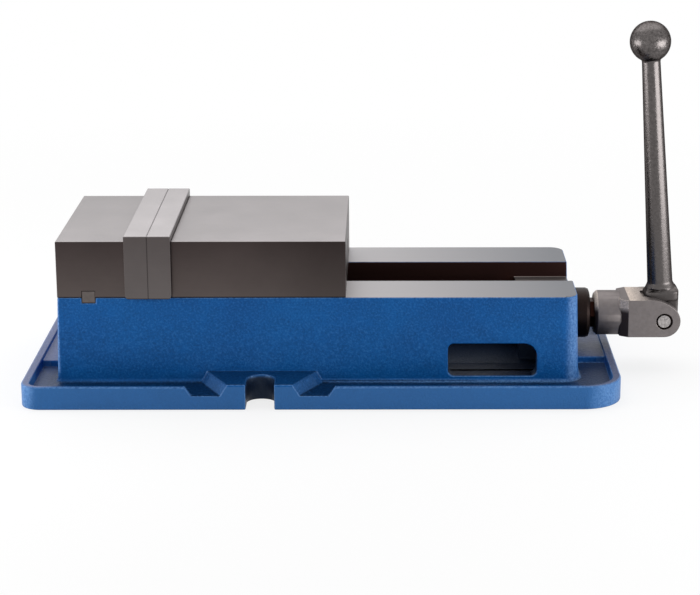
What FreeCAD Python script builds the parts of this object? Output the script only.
import FreeCAD, Part
import os
from math import cos, pi, radians, sin, tan

os.makedirs("parts", exist_ok=True)

# Angle-lock machine vise. Millimetres. +X points to the crank, +Y away from the operator's
# side, +Z up. The origin is on the ground underside, on the centre plane, between the two
# hold-down slots, where the pivot bore is.

# Jaws and jaw plates
JAW_WIDTH = 143.4
JAW_HEIGHT = 39.9
FIXED_JAW_LENGTH = 47.3
MOVABLE_JAW_LENGTH = 119.4
PLATE_WIDTH = 152.4
PLATE_HEIGHT = 44.5
PLATE_THICKNESS = 15.9
PLATE_CORNER_RADIUS = 2.5
EDGE_BREAK = 0.5
JAW_OPENING = 152.4

# Body casting: the body reaches left and right from the hold-down slots, and the flange
# stands out beyond the body
BODY_LEFT_REACH = 140.2
BODY_RIGHT_REACH = 218.4
FLANGE_LEFT_LEDGE = 24.0
FLANGE_RIGHT_LEDGE = 29.9
FLANGE_SIDE_LEDGE = 33.05
FLANGE_HEIGHT = 16.6
FLANGE_LEFT_RADIUS = 14.0
FLANGE_RIGHT_RADIUS = 28.0
FLANGE_EDGE_RADIUS = 1.6
RIM_WIDTH = 6.0
SIDE_RIM_WIDTH = 3.5
TRAY_HEIGHT = 10.0
WAY_HEIGHT = 70.4
WAY_THICKNESS = 19.0
SLOT_WIDTH = 54.2
WALL_THICKNESS = 11.7
DRAFT_ANGLE = 1.75
LEFT_CORNER_RADIUS = 1.2
RIGHT_CORNER_RADIUS = 10.0
DECK_THICKNESS = 22.0
CROSS_WEB_THICKNESS = 12.0
CAST_FILLET = 3.0

# Chip tray details: end pads, drain gaps and the chip chute inside
LEFT_PAD_WIDTH = 72.6
RIGHT_PAD_WIDTH = 56.4
END_PAD_HEIGHT = 14.6
END_PAD_BEVEL = 0.6
DRAIN_GAP_LENGTH = 94.0
DRAIN_GAP_SLOPE = 4.5
CHUTE_WIDTH = 82.0
CHUTE_RIDGE_WIDTH = 14.0
CHUTE_RISE = 7.0
CHUTE_BELOW_SILL = 0.3

# Side pads with the open hold-down slots
SIDE_PAD_HEIGHT = 18.1
SIDE_PAD_OUTER_WIDTH = 44.0
SIDE_PAD_INNER_WIDTH = 78.0
SIDE_PAD_BEVEL = 5.0
HOLD_DOWN_WIDTH = 19.5
HOLD_DOWN_WALL_GAP = 9.0

# Chip windows in the side walls
WINDOW_LENGTH = 61.6
WINDOW_HEIGHT = 23.0
WINDOW_SILL = 14.3
WINDOW_FROM_END = 28.0
WINDOW_RADIUS = 4.0
WINDOW_LARGE_RADIUS = 9.0

# Bearing wall at the crank end
END_WALL_THICKNESS = 12.4
END_BLOCK_LENGTH = 38.4
END_BLOCK_WIDTH = 72.0
END_BLOCK_DROP = 11.7
SPOT_FACE_RADIUS = 21.0

# Underside
PIVOT_BORE_RADIUS = 12.7
PIVOT_BORE_DEPTH = 12.0
KEYWAY_WIDTH = 15.9
KEYWAY_DEPTH = 4.8
KEYWAY_LENGTH = 46.0
RELIEF_DEPTH = 3.0
RELIEF_MARGIN = 34.0

# Fasteners: jaw plate screws, jaw bolts and the jaw key
PLATE_SCREW_RADIUS = 6.0
PLATE_SCREW_HEAD_RADIUS = 9.0
PLATE_SCREW_HEAD_HEIGHT = 12.0
PLATE_SCREW_ENGAGEMENT = 24.0
PLATE_SCREW_SPACING = 98.4
PLATE_SCREW_HEIGHT = 23.9
PLATE_SCREW_SOCKET = 10.0
JAW_BOLT_RADIUS = 8.0
JAW_BOLT_HEAD_RADIUS = 12.0
JAW_BOLT_HEAD_HEIGHT = 16.0
JAW_BOLT_ENGAGEMENT = 22.0
JAW_BOLT_SPACING = 60.0
JAW_BOLT_FROM_PLATE = 11.2
JAW_BOLT_SOCKET = 14.0
TAPPED_HOLE_EXTRA = 2.0
FASTENER_CLEARANCE = 0.4
COUNTERBORE_EXTRA = 0.5
KEY_WIDTH = 9.5
KEY_HEIGHT = 8.6
KEY_DEPTH_IN_BODY = 3.9
KEY_FROM_END = 16.8

# Screw, bearing and collar
SCREW_HEIGHT = 39.5
SCREW_RADIUS = 12.7
SCREW_PITCH = 5.08
JOURNAL_RADIUS = 11.9
SHOULDER_RADIUS = 18.0
SHOULDER_LENGTH = 5.2
SCREW_TAIL = 8.0
SCREW_POINT_CHAMFER = 2.0
HEX_ACROSS_FLATS = 19.05
HEX_LENGTH = 23.5
BUSHING_WALL = 3.0
WASHER_THICKNESS = 2.4
WASHER_RADIUS = 18.5
WASHER_SEAT_DEPTH = 1.0
ROLLER_DIAMETER = 3.0
ROLLER_LENGTH = 5.0
ROLLER_COUNT = 12
CAGE_THICKNESS = 2.0
COLLAR_RADIUS = 18.0
COLLAR_LENGTH = 14.0
COLLAR_EDGE_RADIUS = 2.6
COLLAR_SCREW_DEPTH = 1.0
COLLAR_SCREW_RADIUS = 3.0

# Nut and half ball
NUT_LENGTH = 54.0
NUT_BODY_WIDTH = 44.0
NUT_FLANGE_WIDTH = 76.0
NUT_FLANGE_THICKNESS = 8.5
NUT_BOTTOM_WALL = 4.5
NECK_LENGTH = 14.0
HOOK_WIDTH = 40.0
HOOK_REACH = 24.0
HOOK_ANGLE = 45.0
HOOK_FOOT_RISE = 5.6
HOOK_TOP_GAP = 8.0
FACE_GAP = 0.8
HALF_BALL_RADIUS = 10.0
NUT_POCKET_LENGTH = 40.0
JAW_CENTRE_TO_NECK = 59.9
TONGUE_DEPTH = 8.0
TONGUE_LENGTH = 22.0
TONGUE_INSET = 2.0
LOCK_SCREW_RADIUS = 6.0
LOCK_SCREW_RECESS = 3.0
LOCK_SCREW_SOCKET = 6.0

# Crank: socket, fork, pin and lever
SOCKET_GAP = 3.3
SOCKET_RADIUS = 16.1
SOCKET_LENGTH = 17.6
SOCKET_CHAMFER = 2.2
FORK_WIDTH = 38.0
FORK_HEIGHT = 27.8
FORK_SHOULDER_LENGTH = 6.0
FORK_SHOULDER_WIDTH = 30.0
PIN_FROM_SOCKET = 31.8
PIN_DROP = 1.9
PIN_RADIUS = 4.5
PIN_RECESS_RADIUS = 5.8
PIN_RECESS_DEPTH = 3.0
EAR_RADIUS = 11.6
EAR_SLOPE_LENGTH = 15.4
EAR_SLOPE_END_ANGLE = 48.0
EAR_CROWN = 2.4
EAR_CROWN_SHIFT = 1.0
FORK_SLOT_WIDTH = 17.0
FORK_LEDGE_LENGTH = 6.0
FORK_LEDGE_RISE = 13.9
TANG_RADIUS = 11.0
TANG_HALF_WIDTH = 9.4
HEEL_REACH = 13.5
HEEL_SLANT = 1.3
FOOT_RISE_LEFT = 16.0
FOOT_RISE_RIGHT = 20.1
FOOT_BACK_REACH = 11.0
FOOT_CROWN_RISE = 22.3
FOOT_CROWN_INSET = 3.0
FOOT_EDGE_BREAK = 1.0
LEVER_LEAN = 4.05
LEVER_BASE_RADIUS = 9.15
LEVER_TIP_RADIUS = 6.35
LEVER_LENGTH = 199.1
LEVER_ROOT_FLARE = 1.8
BALL_RADIUS = 14.5

# How far a piece is sunk into what carries it, and a cut runs past a face
SINK = 1.0
PAST = 1.0

# Clearances
RUNNING_CLEARANCE = 0.05
SLIDING_CLEARANCE = 0.1
SIDE_CLEARANCE = 0.3
LOOSE_CLEARANCE = 1.2

# Places that follow from the sizes above
BODY_LEFT = -BODY_LEFT_REACH
BODY_RIGHT = BODY_RIGHT_REACH
HALF_JAW = JAW_WIDTH / 2
HALF_FLANGE = HALF_JAW + FLANGE_SIDE_LEDGE
FLANGE_LEFT = BODY_LEFT - FLANGE_LEFT_LEDGE
FLANGE_RIGHT = BODY_RIGHT + FLANGE_RIGHT_LEDGE
HALF_SLOT = SLOT_WIDTH / 2
HALF_CAVITY = HALF_JAW - WALL_THICKNESS
WAY_UNDERSIDE = WAY_HEIGHT - WAY_THICKNESS
JAW_TOP = WAY_HEIGHT + JAW_HEIGHT
FIXED_FACE = BODY_LEFT + FIXED_JAW_LENGTH
PLATE_SEAM = FIXED_FACE + PLATE_THICKNESS
MOVABLE_FACE = PLATE_SEAM + PLATE_THICKNESS
MOVABLE_BACK = MOVABLE_FACE + MOVABLE_JAW_LENGTH
PLATE_SCREW_Z = WAY_HEIGHT + PLATE_SCREW_HEIGHT
CAVITY_LEFT = PLATE_SEAM + PLATE_THICKNESS
CAVITY_RIGHT = BODY_RIGHT - END_WALL_THICKNESS
CAVITY_FLOOR = WINDOW_SILL - CHUTE_BELOW_SILL
DECK_UNDERSIDE = WAY_HEIGHT - DECK_THICKNESS
END_BLOCK_LEFT = BODY_RIGHT - END_BLOCK_LENGTH
END_BLOCK_TOP = WAY_HEIGHT - END_BLOCK_DROP
BODY_WASHER_LEFT = END_BLOCK_LEFT + WASHER_SEAT_DEPTH - WASHER_THICKNESS
ROLLER_SPACE = ROLLER_DIAMETER + 2 * RUNNING_CLEARANCE
ROLLER_X = BODY_WASHER_LEFT - ROLLER_SPACE / 2
SCREW_WASHER_LEFT = BODY_WASHER_LEFT - ROLLER_SPACE - WASHER_THICKNESS
SHOULDER_LEFT = SCREW_WASHER_LEFT - SHOULDER_LENGTH
COLLAR_LEFT = BODY_RIGHT + SLIDING_CLEARANCE
COLLAR_RIGHT = COLLAR_LEFT + COLLAR_LENGTH
SOCKET_LEFT = COLLAR_RIGHT + SOCKET_GAP
SOCKET_RIGHT = SOCKET_LEFT + SOCKET_LENGTH
PIN_X = SOCKET_RIGHT + PIN_FROM_SOCKET
PIN_Z = SCREW_HEIGHT - PIN_DROP
HEX_RIGHT = COLLAR_RIGHT + HEX_LENGTH
NECK_LEFT = MOVABLE_FACE + JAW_CENTRE_TO_NECK
NECK_RIGHT = NECK_LEFT + NECK_LENGTH
NUT_RIGHT = SHOULDER_LEFT - JAW_OPENING - LOOSE_CLEARANCE
NUT_LEFT = NUT_RIGHT - NUT_LENGTH
SCREW_LEFT = NUT_LEFT - SCREW_TAIL
HOOK_FOOT = WAY_HEIGHT + HOOK_FOOT_RISE
HOOK_TOP = JAW_TOP - HOOK_TOP_GAP
JAW_BOLT_X = FIXED_FACE - JAW_BOLT_FROM_PLATE
JAW_BOLT_ROWS = (-JAW_BOLT_SPACING / 2, JAW_BOLT_SPACING / 2)
PLATE_SCREW_ROWS = (-PLATE_SCREW_SPACING / 2, PLATE_SCREW_SPACING / 2)
LOCK_SCREW_Z = (HOOK_FOOT + HOOK_TOP) / 2


def vec(x, y, z):
    return FreeCAD.Vector(x, y, z)


def box(x0, x1, y0, y1, z0, z1):
    """A block between two corners."""
    return Part.makeBox(x1 - x0, y1 - y0, z1 - z0, vec(x0, y0, z0))


def rod_x(x0, x1, radius, y=0.0, z=SCREW_HEIGHT):
    """A round bar along X."""
    return Part.makeCylinder(radius, x1 - x0, vec(x0, y, z), vec(1, 0, 0))


def rod_y(y0, y1, radius, x, z):
    """A round bar along Y."""
    return Part.makeCylinder(radius, y1 - y0, vec(x, y0, z), vec(0, 1, 0))


def rod_z(z0, z1, radius, x, y):
    """A round bar along Z."""
    return Part.makeCylinder(radius, z1 - z0, vec(x, y, z0), vec(0, 0, 1))


def prism_y(points, y0, y1):
    """An outline in the XZ plane, carried along Y."""
    corners = [vec(x, y0, z) for x, z in points]
    face = Part.Face(Part.makePolygon(corners + corners[:1]))
    return face.extrude(vec(0, y1 - y0, 0))


def prism_x(points, x0, x1):
    """An outline in the YZ plane, carried along X."""
    corners = [vec(x0, y, z) for y, z in points]
    face = Part.Face(Part.makePolygon(corners + corners[:1]))
    return face.extrude(vec(x1 - x0, 0, 0))


def corner_arc(cx, cy, radius, start, z):
    """A quarter circle in plan, from the angle start to 90 degrees further on."""
    places = []
    for step in (0, 45, 90):
        angle = radians(start + step)
        places.append(vec(cx + radius * cos(angle), cy + radius * sin(angle), z))
    return Part.Arc(*places).toShape()


def rounded_outline(x0, x1, half_width, left_radius, right_radius, z):
    """A closed plan outline with round corners, at one height."""
    centres = (
        (x1 - right_radius, half_width - right_radius, right_radius, 0),
        (x0 + left_radius, half_width - left_radius, left_radius, 90),
        (x0 + left_radius, left_radius - half_width, left_radius, 180),
        (x1 - right_radius, right_radius - half_width, right_radius, 270),
    )
    arcs = [corner_arc(cx, cy, radius, start, z) for cx, cy, radius, start in centres]
    edges = []
    for index, arc in enumerate(arcs):
        following = arcs[(index + 1) % len(arcs)]
        edges.append(arc)
        edges.append(Part.makeLine(arc.Vertexes[-1].Point, following.Vertexes[0].Point))
    return Part.Wire(edges)


def slab(outline, height):
    """A plan outline carried upwards."""
    return Part.Face(outline).extrude(vec(0, 0, height))


def hexagon_x(across_flats, x0, x1, y=0.0, z=SCREW_HEIGHT):
    """A hexagonal bar along X, a flat on top."""
    radius = across_flats / 2 / cos(pi / 6)
    points = []
    for side in range(6):
        angle = side * pi / 3
        points.append((y + radius * cos(angle), z + radius * sin(angle)))
    return prism_x(points, x0, x1)


def hexagon_z(across_flats, z0, z1, x, y):
    """A hexagonal bar along Z."""
    radius = across_flats / 2 / cos(pi / 6)
    corners = []
    for side in range(6):
        angle = side * pi / 3
        corners.append(vec(x + radius * cos(angle), y + radius * sin(angle), z0))
    face = Part.Face(Part.makePolygon(corners + corners[:1]))
    return face.extrude(vec(0, 0, z1 - z0))


def both_sides(shape):
    """The shape and its mirror image across the centre plane."""
    return [shape, shape.mirror(vec(0, 0, 0), vec(0, 1, 0))]


def edges_on_plane(shape, axis, value):
    """The edges that lie wholly in a plane square to X, Y or Z."""
    found = []
    for edge in shape.Edges:
        bounds = edge.BoundBox
        low = (bounds.XMin, bounds.YMin, bounds.ZMin)[axis]
        high = (bounds.XMax, bounds.YMax, bounds.ZMax)[axis]
        if abs(low - value) < 1e-4 and abs(high - value) < 1e-4:
            found.append(edge)
    return found


def flange_outline(inset_x, inset_y, z):
    """The flange's plan outline, moved inwards by an inset at its ends and at its sides."""
    return rounded_outline(
        FLANGE_LEFT + inset_x,
        FLANGE_RIGHT - inset_x,
        HALF_FLANGE - inset_y,
        FLANGE_LEFT_RADIUS - inset_x,
        FLANGE_RIGHT_RADIUS - inset_x,
        z,
    )


def make_flange():
    """The tray flange: slab with a rim round a lower floor, and gaps in the rim."""
    flange = slab(flange_outline(0, 0, 0), FLANGE_HEIGHT)
    flange = flange.makeFillet(FLANGE_EDGE_RADIUS, edges_on_plane(flange, 2, FLANGE_HEIGHT))
    tray = flange_outline(RIM_WIDTH, SIDE_RIM_WIDTH, TRAY_HEIGHT)
    flange = flange.cut(slab(tray, FLANGE_HEIGHT))
    half_gap = DRAIN_GAP_LENGTH / 2
    rise = FLANGE_HEIGHT - TRAY_HEIGHT
    spread = DRAIN_GAP_SLOPE * 2
    gap = [
        (-half_gap, TRAY_HEIGHT),
        (half_gap, TRAY_HEIGHT),
        (half_gap + spread, TRAY_HEIGHT + 2 * rise),
        (-half_gap - spread, TRAY_HEIGHT + 2 * rise),
    ]
    return flange.cut(prism_y(gap, -HALF_FLANGE - PAST, HALF_FLANGE + PAST))


def end_pad(x0, x1, width):
    """A raised pad on the tray floor at one end, with bevelled sides."""
    half = width / 2
    low = TRAY_HEIGHT - SINK
    bevel = END_PAD_BEVEL * (END_PAD_HEIGHT - low) / (END_PAD_HEIGHT - TRAY_HEIGHT)
    section = [
        (-half - bevel, low),
        (half + bevel, low),
        (half, END_PAD_HEIGHT),
        (-half, END_PAD_HEIGHT),
    ]
    return prism_x(section, x0, x1)


def side_pad():
    """The raised pad on the operator's side: a trapezoid in plan with bevelled flanks."""
    low = TRAY_HEIGHT - SINK
    bevel = SIDE_PAD_BEVEL * (SIDE_PAD_HEIGHT - low) / (SIDE_PAD_HEIGHT - TRAY_HEIGHT)
    near = -HALF_FLANGE
    far = -HALF_JAW + SINK
    levels = []
    for z, extra in ((low, bevel), (SIDE_PAD_HEIGHT, 0.0)):
        outer = SIDE_PAD_OUTER_WIDTH / 2 + extra
        inner = SIDE_PAD_INNER_WIDTH / 2 + extra
        points = [vec(-outer, near, z), vec(outer, near, z), vec(inner, far, z), vec(-inner, far, z)]
        levels.append(Part.makePolygon(points + points[:1]))
    return Part.makeLoft(levels, True, True)


def hold_down_slot():
    """The open slot through a side pad, with a round inner end, for a clamping bolt."""
    half = HOLD_DOWN_WIDTH / 2
    centre = -(HALF_JAW + HOLD_DOWN_WALL_GAP + half)
    height = SIDE_PAD_HEIGHT + PAST
    round_end = rod_z(-PAST, height, half, 0, centre)
    mouth = box(-half, half, -HALF_FLANGE - PAST, centre, -PAST, height)
    return round_end.fuse(mouth)


def window_cut():
    """The chip window through the near side wall: rounded, its upper crank-side corner larger."""
    right = BODY_RIGHT - WINDOW_FROM_END
    left = right - WINDOW_LENGTH
    low = WINDOW_SILL
    high = low + WINDOW_HEIGHT
    corners = (
        (left, low, WINDOW_RADIUS, 180),
        (right, low, WINDOW_RADIUS, 270),
        (right, high, WINDOW_LARGE_RADIUS, 0),
        (left, high, WINDOW_RADIUS, 90),
    )
    start_y = SIDE_RIM_WIDTH - HALF_FLANGE
    arcs = []
    for x, z, radius, start in corners:
        cx = x + radius if x == left else x - radius
        cz = z + radius if z == low else z - radius
        places = []
        for step in (0, 45, 90):
            angle = radians(start + step)
            places.append(vec(cx + radius * cos(angle), start_y, cz + radius * sin(angle)))
        arcs.append(Part.Arc(*places).toShape())
    edges = []
    for index, arc in enumerate(arcs):
        following = arcs[(index + 1) % len(arcs)]
        edges.append(arc)
        edges.append(Part.makeLine(arc.Vertexes[-1].Point, following.Vertexes[0].Point))
    face = Part.Face(Part.Wire(edges))
    return face.extrude(vec(0, -HALF_CAVITY + PAST - start_y, 0))


def make_walls():
    """The drafted outer block of the body: ways, side walls and ends in one."""
    spread = WAY_HEIGHT * tan(radians(DRAFT_ANGLE))
    foot = rounded_outline(
        BODY_LEFT - spread,
        BODY_RIGHT + spread,
        HALF_JAW + spread,
        LEFT_CORNER_RADIUS + spread,
        RIGHT_CORNER_RADIUS + spread,
        0,
    )
    top = rounded_outline(
        BODY_LEFT, BODY_RIGHT, HALF_JAW, LEFT_CORNER_RADIUS, RIGHT_CORNER_RADIUS, WAY_HEIGHT
    )
    return Part.makeLoft([foot, top], True, True)


def round_wall_foot(casting):
    """Rounds the corner between the walls and the tray floor, as a moulder does."""
    spread = WAY_HEIGHT * tan(radians(DRAFT_ANGLE))
    foot_edges = []
    for edge in edges_on_plane(casting, 2, TRAY_HEIGHT):
        bounds = edge.BoundBox
        if max(-bounds.YMin, bounds.YMax) < HALF_JAW + spread and bounds.XMin > BODY_LEFT - spread:
            foot_edges.append(edge)
    return casting.makeFillet(CAST_FILLET, foot_edges)


def body_cavity():
    """The room under the ways, with the bearing block and the chip chute left standing."""
    floor = CAVITY_FLOOR
    cavity = box(CAVITY_LEFT, CAVITY_RIGHT, -HALF_CAVITY, HALF_CAVITY, floor, WAY_UNDERSIDE)
    half_block = END_BLOCK_WIDTH / 2
    block = box(END_BLOCK_LEFT, CAVITY_RIGHT, -half_block, half_block, floor, WAY_UNDERSIDE)
    half_chute = CHUTE_WIDTH / 2
    half_ridge = CHUTE_RIDGE_WIDTH / 2
    ridge = floor + CHUTE_RISE
    section = [(-half_chute, floor), (-half_ridge, ridge), (half_ridge, ridge), (half_chute, floor)]
    chute = prism_x(section, CAVITY_LEFT, CAVITY_RIGHT)
    return cavity.cut(block.fuse(chute))


def way_slot():
    """The slot between the ways, open at the crank end above the bearing block."""
    top = WAY_HEIGHT + PAST
    right = BODY_RIGHT + PAST
    over_cavity = box(CAVITY_LEFT, END_BLOCK_LEFT, -HALF_SLOT, HALF_SLOT, WAY_UNDERSIDE - PAST, top)
    over_block = box(END_BLOCK_LEFT - PAST, right, -HALF_SLOT, HALF_SLOT, END_BLOCK_TOP, top)
    return over_cavity.fuse(over_block)


def screw_bores():
    """The bush's bore, the thrust washer's seat and the spot face round the screw."""
    bore = JOURNAL_RADIUS + RUNNING_CLEARANCE + BUSHING_WALL
    left = END_BLOCK_LEFT - PAST
    return [
        rod_x(left, BODY_RIGHT + PAST, bore),
        rod_x(left, END_BLOCK_LEFT + WASHER_SEAT_DEPTH, WASHER_RADIUS + RUNNING_CLEARANCE),
        rod_x(BODY_RIGHT, BODY_RIGHT + SPOT_FACE_RADIUS, SPOT_FACE_RADIUS),
    ]


def underside_cuts():
    """Pivot bore, two keyways, the hollow under the fixed jaw and the shallow relief."""
    half_key = KEYWAY_WIDTH / 2
    keyway_end = FLANGE_LEFT + KEYWAY_LENGTH
    keyway_start = FLANGE_RIGHT - KEYWAY_LENGTH
    pocket_left = BODY_LEFT + WALL_THICKNESS
    pocket_right = CAVITY_LEFT - CROSS_WEB_THICKNESS
    relief_right = keyway_start - WALL_THICKNESS
    return [
        rod_z(-PAST, PIVOT_BORE_DEPTH, PIVOT_BORE_RADIUS, 0, 0),
        box(FLANGE_LEFT - PAST, keyway_end, -half_key, half_key, -PAST, KEYWAY_DEPTH),
        box(keyway_start, FLANGE_RIGHT + PAST, -half_key, half_key, -PAST, KEYWAY_DEPTH),
        box(pocket_left, pocket_right, -HALF_CAVITY, HALF_CAVITY, -PAST, DECK_UNDERSIDE),
        box(RELIEF_MARGIN, relief_right, -HALF_CAVITY, HALF_CAVITY, -PAST, RELIEF_DEPTH),
    ]


def make_vise_body():
    """The whole casting, machined: flange, walls, ways, cavities, bores and slots."""
    body = round_wall_foot(make_flange().fuse(make_walls()).removeSplitter())
    right_pad_end = FLANGE_RIGHT - RIM_WIDTH + SINK
    left_pad_end = FLANGE_LEFT + RIM_WIDTH - SINK
    pads = both_sides(side_pad())
    pads.append(end_pad(BODY_RIGHT - SINK, right_pad_end, RIGHT_PAD_WIDTH))
    pads.append(end_pad(left_pad_end, BODY_LEFT + SINK, LEFT_PAD_WIDTH))
    body = body.fuse(pads).removeSplitter()

    cuts = [body_cavity(), way_slot(), jaw_key_block(RUNNING_CLEARANCE)]
    cuts += both_sides(window_cut())
    cuts += both_sides(hold_down_slot())
    cuts += screw_bores()
    cuts += underside_cuts()
    hole = JAW_BOLT_RADIUS + FASTENER_CLEARANCE
    for y in JAW_BOLT_ROWS:
        cuts.append(rod_z(DECK_UNDERSIDE - PAST, WAY_HEIGHT + PAST, hole, JAW_BOLT_X, y))
    return body.cut(cuts)


def jaw_key_block(clearance):
    """The key between body and fixed jaw, or with a clearance the seat that is cut for it."""
    left = BODY_LEFT + KEY_FROM_END
    low = WAY_HEIGHT - KEY_DEPTH_IN_BODY
    high = low + KEY_HEIGHT
    half = HALF_JAW + PAST if clearance else HALF_JAW - EDGE_BREAK
    gap = clearance
    return box(left - gap, left + KEY_WIDTH + gap, -half, half, low - gap, high + gap)


def block_with_broken_edges(x0, x1, half_width, z0, z1):
    """A ground block with its long edges and corners just taken off."""
    block = box(x0, x1, -half_width, half_width, z0, z1)
    return block.makeChamfer(EDGE_BREAK, edges_on_plane(block, 2, z1))


def plate_screw_holes(x0, x1):
    """The two tapped holes for jaw plate screws."""
    radius = PLATE_SCREW_RADIUS + RUNNING_CLEARANCE
    return [rod_x(x0, x1, radius, y, PLATE_SCREW_Z) for y in PLATE_SCREW_ROWS]


def make_stationary_jaw():
    """The fixed jaw block, keyed and bolted to the deck from below."""
    jaw = block_with_broken_edges(BODY_LEFT, FIXED_FACE, HALF_JAW, WAY_HEIGHT, JAW_TOP)
    cuts = [jaw_key_block(RUNNING_CLEARANCE)]
    hole = JAW_BOLT_RADIUS + RUNNING_CLEARANCE
    hole_top = WAY_HEIGHT + JAW_BOLT_ENGAGEMENT + TAPPED_HOLE_EXTRA
    for y in JAW_BOLT_ROWS:
        cuts.append(rod_z(WAY_HEIGHT - PAST, hole_top, hole, JAW_BOLT_X, y))
    hole_end = FIXED_FACE - PLATE_SCREW_ENGAGEMENT - TAPPED_HOLE_EXTRA
    cuts += plate_screw_holes(hole_end, FIXED_FACE + PAST)
    return jaw.cut(cuts)


def make_jaw_plate(jaw_face, direction):
    """A hardened jaw plate, its lower corner at the jaw rounded, two counterbored holes in its face."""
    half = PLATE_WIDTH / 2
    low = WAY_HEIGHT + SLIDING_CLEARANCE
    high = WAY_HEIGHT + PLATE_HEIGHT
    clamp_face = jaw_face + direction * PLATE_THICKNESS
    x0, x1 = sorted((jaw_face, clamp_face))
    plate = box(x0, x1, -half, half, low, high)
    lower_corner = []
    for edge in edges_on_plane(plate, 0, jaw_face):
        if edge.BoundBox.ZMax < low + EDGE_BREAK:
            lower_corner.append(edge)
    plate = plate.makeFillet(PLATE_CORNER_RADIUS, lower_corner)
    plate = plate.makeChamfer(EDGE_BREAK, edges_on_plane(plate, 2, high))
    shank_hole = PLATE_SCREW_RADIUS + FASTENER_CLEARANCE
    head_hole = PLATE_SCREW_HEAD_RADIUS + FASTENER_CLEARANCE
    seat = clamp_face - direction * (PLATE_SCREW_HEAD_HEIGHT + COUNTERBORE_EXTRA)
    head_x0, head_x1 = sorted((seat, clamp_face + direction * PAST))
    cuts = []
    for y in PLATE_SCREW_ROWS:
        cuts.append(rod_x(x0 - PAST, x1 + PAST, shank_hole, y, PLATE_SCREW_Z))
        cuts.append(rod_x(head_x0, head_x1, head_hole, y, PLATE_SCREW_Z))
    return plate.cut(cuts)


def make_plate_screws(jaw_face, direction):
    """Two socket head screws, heads sunk in the plate, shanks in the jaw."""
    web = PLATE_THICKNESS - PLATE_SCREW_HEAD_HEIGHT - COUNTERBORE_EXTRA
    under_head = jaw_face + direction * web
    head_end = under_head + direction * PLATE_SCREW_HEAD_HEIGHT
    head_x0, head_x1 = sorted((under_head, head_end))
    shank_x0, shank_x1 = sorted((jaw_face - direction * PLATE_SCREW_ENGAGEMENT, under_head))
    socket_end = head_end - direction * PLATE_SCREW_HEAD_HEIGHT / 2
    socket_x0, socket_x1 = sorted((socket_end, head_end + direction * PAST))
    screws = []
    for y in PLATE_SCREW_ROWS:
        head = rod_x(head_x0, head_x1, PLATE_SCREW_HEAD_RADIUS, y, PLATE_SCREW_Z)
        shank = rod_x(shank_x0, shank_x1, PLATE_SCREW_RADIUS, y, PLATE_SCREW_Z)
        socket = hexagon_x(PLATE_SCREW_SOCKET, socket_x0, socket_x1, y, PLATE_SCREW_Z)
        screws.append(head.fuse(shank).removeSplitter().cut(socket))
    return Part.makeCompound(screws)


def make_jaw_bolts():
    """Two socket head bolts from below, heads under the deck, shanks up into the jaw."""
    head_low = DECK_UNDERSIDE - JAW_BOLT_HEAD_HEIGHT
    shank_top = WAY_HEIGHT + JAW_BOLT_ENGAGEMENT
    socket_top = head_low + JAW_BOLT_HEAD_HEIGHT / 2
    bolts = []
    for y in JAW_BOLT_ROWS:
        shank = rod_z(DECK_UNDERSIDE, shank_top, JAW_BOLT_RADIUS, JAW_BOLT_X, y)
        head = rod_z(head_low, DECK_UNDERSIDE, JAW_BOLT_HEAD_RADIUS, JAW_BOLT_X, y)
        socket = hexagon_z(JAW_BOLT_SOCKET, head_low - PAST, socket_top, JAW_BOLT_X, y)
        bolts.append(head.fuse(shank).removeSplitter().cut(socket))
    return Part.makeCompound(bolts)


def slanted_face(gap):
    """Foot and tip of the hook's slanted face in the XZ plane, moved by a gap towards the jaw."""
    slant = radians(HOOK_ANGLE)
    foot_x = NECK_LEFT - gap / sin(slant)
    return foot_x, HOOK_FOOT, foot_x - HOOK_REACH, HOOK_FOOT + HOOK_REACH * tan(slant)


def make_slide_nut():
    """The nut: threaded block with flanges under the ways, neck in the slot, hook above."""
    half_body = NUT_BODY_WIDTH / 2
    half_flange = NUT_FLANGE_WIDTH / 2
    top = WAY_UNDERSIDE - SLIDING_CLEARANCE
    bottom = SCREW_HEIGHT - SCREW_RADIUS - NUT_BOTTOM_WALL
    flange_low = top - NUT_FLANGE_THICKNESS
    neck_half = HALF_SLOT - SLIDING_CLEARANCE
    nut = box(NUT_LEFT, NUT_RIGHT, -half_body, half_body, bottom, top)
    nut = nut.fuse(box(NUT_LEFT, NUT_RIGHT, -half_flange, half_flange, flange_low, top))
    guide_top = WAY_HEIGHT - SLIDING_CLEARANCE
    nut = nut.fuse(box(NECK_LEFT, NECK_RIGHT, -neck_half, neck_half, top - SINK, guide_top))
    foot_x, foot_z, tip_x, tip_z = slanted_face(0.0)
    hook = [
        (foot_x, guide_top - SINK),
        (NECK_RIGHT, guide_top - SINK),
        (NECK_RIGHT, tip_z),
        (tip_x, tip_z),
        (foot_x, foot_z),
    ]
    nut = nut.fuse(prism_y(hook, -HOOK_WIDTH / 2, HOOK_WIDTH / 2)).removeSplitter()
    return nut.cut(rod_x(NUT_LEFT - PAST, NUT_RIGHT + PAST, SCREW_RADIUS + RUNNING_CLEARANCE))


def half_ball_centre():
    foot_x, foot_z, tip_x, tip_z = slanted_face(0.0)
    return vec((foot_x + tip_x) / 2, 0, (foot_z + tip_z) / 2)


def make_half_ball():
    """Half a ball, its flat on the hook's slanted face and its dome in the jaw."""
    centre = half_ball_centre()
    normal = vec(-sin(radians(HOOK_ANGLE)), 0, -cos(radians(HOOK_ANGLE)))
    return Part.makeSphere(HALF_BALL_RADIUS, centre, normal, 0, 90, 360)


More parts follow.
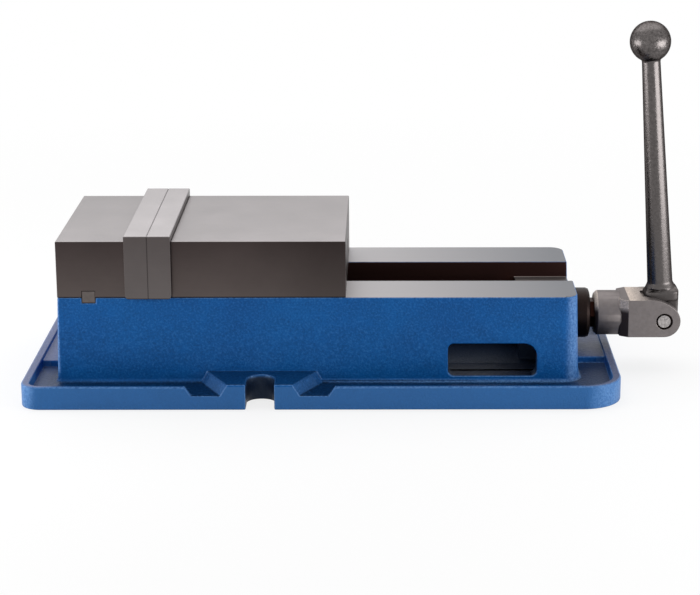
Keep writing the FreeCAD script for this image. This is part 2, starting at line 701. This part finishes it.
def nut_pocket():
    """The hollow of the movable jaw: room for the hook, slanted at the ball's side."""
    half = HOOK_WIDTH / 2 + SIDE_CLEARANCE
    foot_x, foot_z, tip_x, tip_z = slanted_face(FACE_GAP)
    right = NECK_LEFT + NUT_POCKET_LENGTH
    ceiling = tip_z + FACE_GAP
    low = WAY_HEIGHT - TONGUE_DEPTH - PAST
    outline = [
        (foot_x, low),
        (right, low),
        (right, ceiling),
        (tip_x, ceiling),
        (tip_x, tip_z),
        (foot_x, foot_z),
    ]
    return prism_y(outline, -half, half)


def guide_tongue(x0, x1):
    """A block under the movable jaw that runs in the slot between the ways."""
    half = HALF_SLOT - SLIDING_CLEARANCE
    return box(x0, x1, -half, half, WAY_HEIGHT - TONGUE_DEPTH, WAY_HEIGHT + SINK)


def make_movable_jaw():
    """The sliding jaw: long ground block with tongues in the slot and a hollow for the nut."""
    jaw = block_with_broken_edges(MOVABLE_FACE, MOVABLE_BACK, HALF_JAW, WAY_HEIGHT, JAW_TOP)
    front_left = MOVABLE_FACE + TONGUE_INSET
    back_left = NECK_LEFT + NUT_POCKET_LENGTH
    front = guide_tongue(front_left, front_left + TONGUE_LENGTH)
    back = guide_tongue(back_left, MOVABLE_BACK - TONGUE_INSET)
    jaw = jaw.fuse([front, back]).removeSplitter()
    ball_seat = Part.makeSphere(HALF_BALL_RADIUS + RUNNING_CLEARANCE, half_ball_centre())
    hole_end = MOVABLE_FACE + PLATE_SCREW_ENGAGEMENT + TAPPED_HOLE_EXTRA
    lock_hole = LOCK_SCREW_RADIUS + RUNNING_CLEARANCE
    cuts = [nut_pocket(), ball_seat]
    cuts += plate_screw_holes(MOVABLE_FACE - PAST, hole_end)
    cuts.append(rod_x(back_left - PAST, MOVABLE_BACK + PAST, lock_hole, 0, LOCK_SCREW_Z))
    return jaw.cut(cuts)


def make_jaw_lock_screw():
    """The set screw from the back of the jaw to the nut's hook."""
    right = MOVABLE_BACK - LOCK_SCREW_RECESS
    screw = rod_x(NECK_RIGHT, right, LOCK_SCREW_RADIUS, 0, LOCK_SCREW_Z)
    socket_left = right - LOCK_SCREW_SOCKET
    return screw.cut(hexagon_x(LOCK_SCREW_SOCKET, socket_left, right + PAST, 0, LOCK_SCREW_Z))


def ring_x(x0, x1, outer, inner):
    """A flat ring about the screw's axis."""
    return rod_x(x0, x1, outer).cut(rod_x(x0 - PAST, x1 + PAST, inner))


def make_screw_bushing():
    """The bronze bush in the bearing wall."""
    bore = JOURNAL_RADIUS + RUNNING_CLEARANCE
    return ring_x(END_BLOCK_LEFT + WASHER_SEAT_DEPTH, BODY_RIGHT, bore + BUSHING_WALL, bore)


def make_washer(left, bore):
    return ring_x(left, left + WASHER_THICKNESS, WASHER_RADIUS, bore)


def roller_rods(extra):
    """The thrust bearing's rollers, pointing out from the screw, thicker and longer by an extra."""
    middle = (WASHER_RADIUS + JOURNAL_RADIUS) / 2
    inner = middle - ROLLER_LENGTH / 2 - extra
    rods = []
    for number in range(ROLLER_COUNT):
        angle = 2 * pi * number / ROLLER_COUNT
        outward = vec(0, cos(angle), sin(angle))
        start = vec(ROLLER_X, 0, SCREW_HEIGHT) + outward * inner
        length = ROLLER_LENGTH + 2 * extra
        rods.append(Part.makeCylinder(ROLLER_DIAMETER / 2 + extra, length, start, outward))
    return rods


def make_bearing_cage():
    """The flat brass ring that keeps the rollers apart."""
    left = ROLLER_X - CAGE_THICKNESS / 2
    right = ROLLER_X + CAGE_THICKNESS / 2
    outer = WASHER_RADIUS - SIDE_CLEARANCE
    ring = ring_x(left, right, outer, JOURNAL_RADIUS + SIDE_CLEARANCE)
    return ring.cut(roller_rods(RUNNING_CLEARANCE))


def make_bearing_rollers():
    return Part.makeCompound(roller_rods(0.0))


def make_lead_screw():
    """The screw: round bar for the thread, thrust shoulder, journal and hexagonal end."""
    screw = rod_x(SCREW_LEFT, SHOULDER_LEFT, SCREW_RADIUS)
    screw = screw.makeChamfer(SCREW_POINT_CHAMFER, edges_on_plane(screw, 0, SCREW_LEFT))
    screw = screw.fuse(rod_x(SHOULDER_LEFT, SCREW_WASHER_LEFT, SHOULDER_RADIUS))
    screw = screw.fuse(rod_x(SCREW_WASHER_LEFT, COLLAR_RIGHT, JOURNAL_RADIUS))
    hexagon = hexagon_x(HEX_ACROSS_FLATS, COLLAR_RIGHT, HEX_RIGHT)
    return screw.fuse(hexagon).removeSplitter()


def collar_outline():
    """Half the collar's section in the XZ plane, its outer edge eased in three flats."""
    ease = COLLAR_EDGE_RADIUS
    third = ease * (1 - cos(pi / 4))
    outer = SCREW_HEIGHT + COLLAR_RADIUS
    bore = SCREW_HEIGHT + JOURNAL_RADIUS
    return [
        vec(COLLAR_LEFT, 0, bore),
        vec(COLLAR_LEFT, 0, outer),
        vec(COLLAR_RIGHT - ease, 0, outer),
        vec(COLLAR_RIGHT - third, 0, outer - third),
        vec(COLLAR_RIGHT, 0, outer - ease),
        vec(COLLAR_RIGHT, 0, bore),
    ]


def make_retaining_collar():
    """The black ring outside the bearing wall, with a hole for its set screw."""
    outline = collar_outline()
    face = Part.Face(Part.makePolygon(outline + outline[:1]))
    ring = face.revolve(vec(0, 0, SCREW_HEIGHT), vec(1, 0, 0), 360)
    middle = (COLLAR_LEFT + COLLAR_RIGHT) / 2
    low = SCREW_HEIGHT - COLLAR_RADIUS - PAST
    hole = rod_z(low, SCREW_HEIGHT, COLLAR_SCREW_RADIUS + RUNNING_CLEARANCE, middle, 0)
    return ring.cut(hole)


def make_collar_set_screw():
    """The set screw that holds the collar on the journal, from below at rest."""
    middle = (COLLAR_LEFT + COLLAR_RIGHT) / 2
    low = SCREW_HEIGHT - COLLAR_RADIUS + COLLAR_SCREW_DEPTH
    screw = rod_z(low, SCREW_HEIGHT - JOURNAL_RADIUS, COLLAR_SCREW_RADIUS, middle, 0)
    socket_top = low + COLLAR_SCREW_RADIUS
    return screw.cut(hexagon_z(COLLAR_SCREW_RADIUS, low - PAST, socket_top, middle, 0))


def point_round_pin(angle):
    """A point of the ear's round end, at an angle above the +X direction."""
    turn = radians(angle)
    return vec(PIN_X + EAR_RADIUS * cos(turn), 0, PIN_Z + EAR_RADIUS * sin(turn))


def ear_outline():
    """The fork's side outline: flat below, round about the pin, sloping to the top."""
    top = SCREW_HEIGHT + FORK_HEIGHT / 2
    bottom = PIN_Z - EAR_RADIUS
    slope_end = point_round_pin(EAR_SLOPE_END_ANGLE)
    slope_start = vec(PIN_X - EAR_SLOPE_LENGTH, 0, top)
    crown = vec(PIN_X - EAR_CROWN_SHIFT, 0, PIN_Z + EAR_RADIUS + EAR_CROWN)
    top_left = vec(SOCKET_RIGHT, 0, top)
    bottom_left = vec(SOCKET_RIGHT, 0, bottom)
    edges = [
        Part.makeLine(bottom_left, point_round_pin(-90)),
        Part.Arc(point_round_pin(-90), point_round_pin(0), slope_end).toShape(),
        Part.Arc(slope_end, crown, slope_start).toShape(),
        Part.makeLine(slope_start, top_left),
        Part.makeLine(top_left, bottom_left),
    ]
    return Part.Wire(edges)


def fork_plan():
    """The fork seen from above: flaring from the hub's width to its own, then straight."""
    shoulder = SOCKET_RIGHT + FORK_SHOULDER_LENGTH
    right = PIN_X + 2 * EAR_RADIUS
    narrow = FORK_SHOULDER_WIDTH / 2
    wide = FORK_WIDTH / 2
    points = [
        (SOCKET_RIGHT, -narrow),
        (shoulder, -wide),
        (right, -wide),
        (right, wide),
        (shoulder, wide),
        (SOCKET_RIGHT, narrow),
    ]
    corners = [vec(x, y, 0) for x, y in points]
    face = Part.Face(Part.makePolygon(corners + corners[:1]))
    return face.extrude(vec(0, 0, SCREW_HEIGHT + FORK_HEIGHT))


def fork_gap():
    """The room between the ears: for the tang, the heel, and the lever's foot when it folds."""
    half = FORK_SLOT_WIDTH / 2
    right = PIN_X + 2 * EAR_RADIUS
    top = SCREW_HEIGHT + FORK_HEIGHT
    stop = PIN_X - TANG_HALF_WIDTH
    heel_room = stop - FORK_LEDGE_LENGTH
    over_pin = box(stop, right, -half, half, PIN_Z, top)
    folded_foot = PIN_X - FOOT_BACK_REACH - SIDE_CLEARANCE
    under_pin = box(folded_foot, right, -half, half, PIN_Z - FORK_HEIGHT, PIN_Z)
    round_tang = rod_y(-half, half, TANG_RADIUS + LOOSE_CLEARANCE, PIN_X, PIN_Z)
    over_ledge = box(heel_room, right, -half, half, PIN_Z + FORK_LEDGE_RISE, top)
    return [over_pin, under_pin, round_tang, over_ledge]


def make_handle_socket():
    """Round socket for the hexagon, with a fork for the lever beyond it."""
    hub = rod_x(SOCKET_LEFT, SOCKET_RIGHT + SINK, SOCKET_RADIUS)
    hub = hub.makeChamfer(SOCKET_CHAMFER, edges_on_plane(hub, 0, SOCKET_LEFT))
    half = FORK_WIDTH / 2
    fork = Part.Face(ear_outline()).extrude(vec(0, FORK_WIDTH, 0))
    fork.translate(vec(0, -half, 0))
    socket = hub.fuse(fork.common(fork_plan())).removeSplitter()
    cuts = fork_gap()
    hexagon = HEX_ACROSS_FLATS + 2 * SLIDING_CLEARANCE
    cuts.append(hexagon_x(hexagon, SOCKET_LEFT - PAST, HEX_RIGHT + PAST))
    cuts.append(rod_y(-half - PAST, half + PAST, PIN_RADIUS, PIN_X, PIN_Z))
    cuts.append(rod_y(-half - PAST, PIN_RECESS_DEPTH - half, PIN_RECESS_RADIUS, PIN_X, PIN_Z))
    cuts.append(rod_y(half - PIN_RECESS_DEPTH, half + PAST, PIN_RECESS_RADIUS, PIN_X, PIN_Z))
    return socket.cut(cuts)


def make_handle_pin():
    """The pin through the fork."""
    half = FORK_WIDTH / 2 - EDGE_BREAK
    return rod_y(-half, half, PIN_RADIUS, PIN_X, PIN_Z)


def lever_point(along):
    """A point on the lever's leaning axis, at a distance from the pin."""
    lean = radians(LEVER_LEAN)
    return vec(PIN_X - along * sin(lean), 0, PIN_Z + along * cos(lean))


def foot_crown(half, heel_left, right):
    """The foot's bevelled top: from its sloping upper edge in to the shaft."""
    left_z = PIN_Z + FOOT_RISE_LEFT
    right_z = PIN_Z + FOOT_RISE_RIGHT
    top = PIN_Z + FOOT_CROWN_RISE
    wires = []
    for inset, z0, z1 in ((0.0, left_z, right_z), (FOOT_CROWN_INSET, top, top)):
        x0 = heel_left + inset
        x1 = right - inset / 2
        y = half - inset
        corners = [vec(x0, -y, z0), vec(x1, -y, z1), vec(x1, y, z1), vec(x0, y, z0)]
        wires.append(Part.makePolygon(corners + corners[:1]))
    return Part.makeLoft(wires, True, True)


def lever_foot(half):
    """The block under the shaft: heel on the fork's ledge at the left, straight back at the right."""
    left = PIN_X - TANG_HALF_WIDTH + SLIDING_CLEARANCE
    heel_left = PIN_X - HEEL_REACH
    right = PIN_X + FOOT_BACK_REACH
    under_heel = PIN_Z + FORK_LEDGE_RISE + SLIDING_CLEARANCE
    outline = [
        (left, PIN_Z),
        (left, under_heel),
        (heel_left + HEEL_SLANT, under_heel),
        (heel_left, PIN_Z + FOOT_RISE_LEFT),
        (right, PIN_Z + FOOT_RISE_RIGHT),
        (right, PIN_Z),
    ]
    block = prism_y(outline, -half, half)
    back_edges = [edge for edge in edges_on_plane(block, 0, right) if edge.BoundBox.YLength < SINK]
    block = block.makeChamfer(FOOT_EDGE_BREAK, back_edges)
    return block.fuse(foot_crown(half, heel_left, right)).removeSplitter()


def make_handle_lever():
    """The lever in one casting: tang and heel in the fork, tapered shaft, ball."""
    half = FORK_SLOT_WIDTH / 2 - SIDE_CLEARANCE
    tang = rod_y(-half, half, TANG_RADIUS, PIN_X, PIN_Z)
    axis = lever_point(1.0) - lever_point(0.0)
    start = FOOT_CROWN_RISE - SINK
    foot_radius = LEVER_BASE_RADIUS + LEVER_ROOT_FLARE
    shaft_length = LEVER_LENGTH - start
    shaft = Part.makeCone(LEVER_BASE_RADIUS, LEVER_TIP_RADIUS, shaft_length, lever_point(start), axis)
    flare_length = 2 * LEVER_ROOT_FLARE
    flare = Part.makeCone(foot_radius, LEVER_BASE_RADIUS, flare_length, lever_point(start), axis)
    ball = Part.makeSphere(BALL_RADIUS, lever_point(LEVER_LENGTH))
    lever = tang.fuse([lever_foot(half), flare, shaft, ball]).removeSplitter()
    bore = PIN_RADIUS + RUNNING_CLEARANCE
    return lever.cut(rod_y(-half - PAST, half + PAST, bore, PIN_X, PIN_Z))


def make_parts():
    """Every node of the vise, by name."""
    return {
        "vise_body": make_vise_body(),
        "stationary_jaw": make_stationary_jaw(),
        "stationary_jaw_key": jaw_key_block(0.0),
        "stationary_jaw_bolts": make_jaw_bolts(),
        "stationary_jaw_plate": make_jaw_plate(FIXED_FACE, 1),
        "stationary_plate_screws": make_plate_screws(FIXED_FACE, 1),
        "screw_bushing": make_screw_bushing(),
        "thrust_washer_body": make_washer(BODY_WASHER_LEFT, JOURNAL_RADIUS + SIDE_CLEARANCE),
        "movable_jaw": make_movable_jaw(),
        "movable_jaw_plate": make_jaw_plate(MOVABLE_FACE, -1),
        "movable_plate_screws": make_plate_screws(MOVABLE_FACE, -1),
        "slide_nut": make_slide_nut(),
        "half_ball": make_half_ball(),
        "jaw_lock_screw": make_jaw_lock_screw(),
        "lead_screw": make_lead_screw(),
        "thrust_washer_screw": make_washer(SCREW_WASHER_LEFT, JOURNAL_RADIUS),
        "retaining_collar": make_retaining_collar(),
        "collar_set_screw": make_collar_set_screw(),
        "bearing_cage": make_bearing_cage(),
        "bearing_rollers": make_bearing_rollers(),
        "handle_socket": make_handle_socket(),
        "handle_pin": make_handle_pin(),
        "handle_lever": make_handle_lever(),
    }


for name, shape in make_parts().items():
    shape.exportStep("parts/" + name + ".step")
    bounds = shape.BoundBox
    volume = shape.Volume / 1000
    print(f"{name:26s} solids {len(shape.Solids)} valid {shape.isValid()} {volume:9.2f} cm3")
    print(f"    x {bounds.XMin:7.1f} {bounds.XMax:7.1f}  y {bounds.YMin:7.1f} {bounds.YMax:7.1f}")
    print(f"    z {bounds.ZMin:7.1f} {bounds.ZMax:7.1f}")
print("turns of the screw over the opening", JAW_OPENING / SCREW_PITCH)
